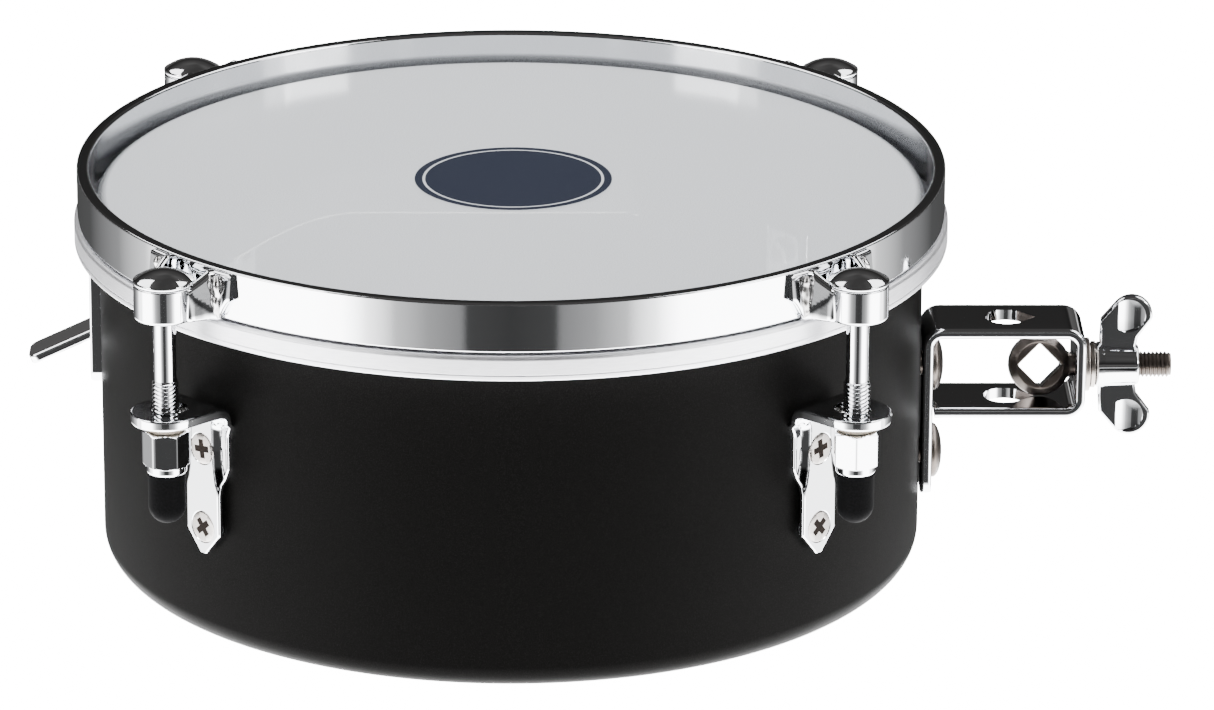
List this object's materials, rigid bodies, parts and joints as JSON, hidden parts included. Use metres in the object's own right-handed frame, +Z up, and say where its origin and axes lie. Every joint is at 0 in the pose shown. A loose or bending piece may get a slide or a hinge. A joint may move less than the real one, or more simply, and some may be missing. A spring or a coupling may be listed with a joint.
{
  "type": "timbale",
  "caption": "Shallow steel drummer's timbale with coated head, flat hoops, tension lugs, a lever-worked snare unit under the head and a stand clamp with wing nut.",
  "frame": {"origin": "centre of the head's playing surface", "axes": "+Z up, out of the playing surface; +X towards the stand clamp; -X towards the snare lever; -Y the front"},
  "size_m": [0.3543, 0.2692, 0.1243],
  "materials": {
    "shell_black": "satin black powder coat with a fine orange-peel texture",
    "head_white": "coated polyester film, matt and slightly translucent",
    "chrome": "mirror chrome plate",
    "aluminium": "rolled aluminium, brushed round the ring",
    "nickel": "bright nickel plate",
    "dark_nickel": "dark nickel plate, slightly worn",
    "rubber": "matt black rubber",
    "zinc": "zinc plated steel",
    "snare_wire": "coiled steel wire"
  },
  "bodies": {
    "drum": {"shell": "shell_black", "head_film": "head_white", "lug_bracket_front_right": "chrome", "lug_backing_plate_front_right": "zinc", "tuning_washer_front_right": "nickel", "lug_screw_upper_front_right": "nickel", "lug_screw_lower_front_right": "nickel", "lug_bracket_front_left": "chrome", "lug_backing_plate_front_left": "zinc", "tuning_washer_front_left": "nickel", "lug_screw_upper_front_left": "nickel", "lug_screw_lower_front_left": "nickel", "lug_bracket_rear_right": "chrome", "lug_backing_plate_rear_right": "zinc", "tuning_washer_rear_right": "nickel", "lug_screw_upper_rear_right": "nickel", "lug_screw_lower_rear_right": "nickel", "lug_bracket_rear_left": "chrome", "lug_backing_plate_rear_left": "zinc", "tuning_washer_rear_left": "nickel", "lug_screw_upper_rear_left": "nickel", "lug_screw_lower_rear_left": "nickel", "clamp_bracket": "chrome", "strainer_guard": "chrome", "clamp_bolt_upper": "dark_nickel", "clamp_bolt_lower": "dark_nickel", "clamp_backing_plate": "zinc", "clamp_nut_upper": "zinc", "clamp_nut_lower": "zinc", "snare_pivot_bracket": "zinc", "snare_pivot_pin": "zinc", "strainer_screw_upper": "nickel", "strainer_screw_lower": "nickel"},
    "hoop": {"flesh_hoop": "aluminium", "counterhoop": "chrome", "hoop_ear_front_right": "chrome", "tension_rod_front_right": "chrome", "rubber_cap_front_right": "rubber", "hoop_ear_front_left": "chrome", "tension_rod_front_left": "chrome", "rubber_cap_front_left": "rubber", "hoop_ear_rear_right": "chrome", "tension_rod_rear_right": "chrome", "rubber_cap_rear_right": "rubber", "hoop_ear_rear_left": "chrome", "tension_rod_rear_left": "chrome", "rubber_cap_rear_left": "rubber"},
    "tuning_nut_front_right": {"tuning_nut_front_right": "chrome"},
    "tuning_nut_front_left": {"tuning_nut_front_left": "chrome"},
    "tuning_nut_rear_right": {"tuning_nut_rear_right": "chrome"},
    "tuning_nut_rear_left": {"tuning_nut_rear_left": "chrome"},
    "clamp_washers": {"flat_washer": "dark_nickel", "spring_washer": "dark_nickel"},
    "eyebolt": {"eyebolt": "dark_nickel"},
    "wing_nut": {"wing_nut": "chrome"},
    "snare_unit": {"snare_lever": "chrome", "snare_arm": "zinc", "snare_holder": "zinc", "snare_wires": "snare_wire", "snare_tip": "snare_wire"}
  },
  "joints": [
    {"name": "tuning_nut_front_right_turn", "type": "hinge", "parent": "drum", "child": "tuning_nut_front_right", "pos_m": [0.10232, -0.10232, -0.0487], "axis": [0, 0, 1], "range_deg": [0, 577]},
    {"name": "tuning_nut_front_left_turn", "type": "hinge", "parent": "drum", "child": "tuning_nut_front_left", "pos_m": [-0.10232, -0.10232, -0.0487], "axis": [0, 0, 1], "range_deg": [0, 577]},
    {"name": "tuning_nut_rear_right_turn", "type": "hinge", "parent": "drum", "child": "tuning_nut_rear_right", "pos_m": [0.10232, 0.10232, -0.0487], "axis": [0, 0, 1], "range_deg": [0, 577]},
    {"name": "tuning_nut_rear_left_turn", "type": "hinge", "parent": "drum", "child": "tuning_nut_rear_left", "pos_m": [-0.10232, 0.10232, -0.0487], "axis": [0, 0, 1], "range_deg": [0, 577]},
    {"name": "hoop_tension", "type": "slide", "parent": "drum", "child": "hoop", "axis": [0, 0, -1], "range_m": [0, 0.002]},
    {"name": "eyebolt_swivel", "type": "hinge", "parent": "drum", "child": "clamp_washers", "pos_m": [0.1797, 0, -0.0586], "axis": [1, 0, 0], "continuous": true},
    {"name": "wing_nut_turn", "type": "hinge", "parent": "clamp_washers", "child": "wing_nut", "pos_m": [0.188, 0, -0.0586], "axis": [1, 0, 0], "range_deg": [0, 2306]},
    {"name": "eyebolt_slide", "type": "slide", "parent": "clamp_washers", "child": "eyebolt", "axis": [-1, 0, 0], "range_m": [0, 0.008]},
    {"name": "snare_throw", "type": "hinge", "parent": "drum", "child": "snare_unit", "pos_m": [-0.118, 0, -0.041], "axis": [0, 1, 0], "range_deg": [0, 12]}
  ],
  "couplings": [
    {"joint": "tuning_nut_front_right_turn", "follows": "hoop_tension", "rad_per_m": 5026.5},
    {"joint": "tuning_nut_front_left_turn", "follows": "hoop_tension", "rad_per_m": 5026.5},
    {"joint": "tuning_nut_rear_right_turn", "follows": "hoop_tension", "rad_per_m": 5026.5},
    {"joint": "tuning_nut_rear_left_turn", "follows": "hoop_tension", "rad_per_m": 5026.5},
    {"joint": "wing_nut_turn", "follows": "eyebolt_slide", "rad_per_m": 5026.5}
  ]
}
